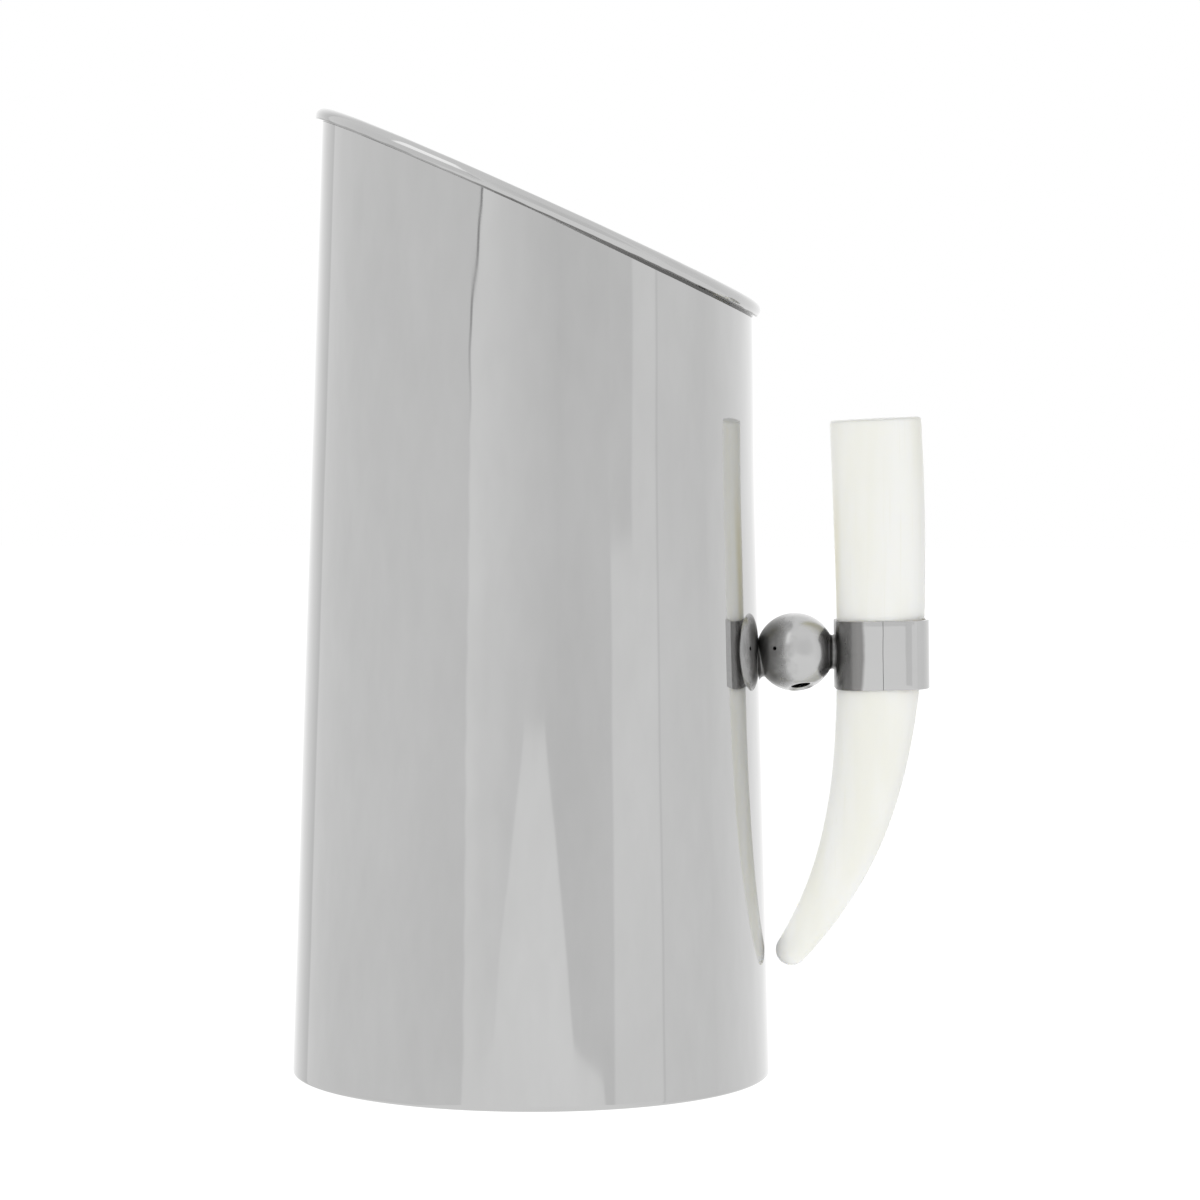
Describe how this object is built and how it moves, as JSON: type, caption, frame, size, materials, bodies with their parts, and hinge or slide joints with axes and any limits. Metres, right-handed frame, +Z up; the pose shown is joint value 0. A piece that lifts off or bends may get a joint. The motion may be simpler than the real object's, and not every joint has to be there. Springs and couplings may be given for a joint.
{
  "type": "water pitcher",
  "caption": "Tall tapered polished metal pitcher with a slanted beaded mouth and a curved horn grip in a band, held off the wall by a soldered ball.",
  "frame": {"origin": "centre of the base disc's underside, on the plane that it rests on", "axes": "+Z up along the body's axis; +X from the axis to the horn grip, so the pouring lip is at -X; +Y to the back, so the front view looks along +Y"},
  "size_m": [0.1702, 0.128, 0.2571],
  "materials": {
    "silver_wall": "polished silver sheet with faint hand-planished waviness",
    "silver_base": "polished silver, finely scuffed where it rests",
    "silver_rim": "polished silver wire",
    "silver_ball": "polished silver with tiny casting pits",
    "silver_band": "polished silver strip with fine scratches",
    "silver_dowel": "drawn silver rod, dull",
    "solder": "silver solder, slightly duller than the sheet",
    "bedding": "aged brown resin",
    "horn": "polished pale horn with fine fibres along its length"
  },
  "bodies": {
    "root": {"body_wall": "silver_wall", "base_disc": "silver_base", "rim_bead": "silver_rim", "handle_ball": "silver_ball", "wall_collar": "solder", "band_collar": "solder", "handle_dowel": "silver_dowel", "horn_band": "silver_band", "band_bedding": "bedding", "horn_grip": "horn"}
  },
  "joints": []
}
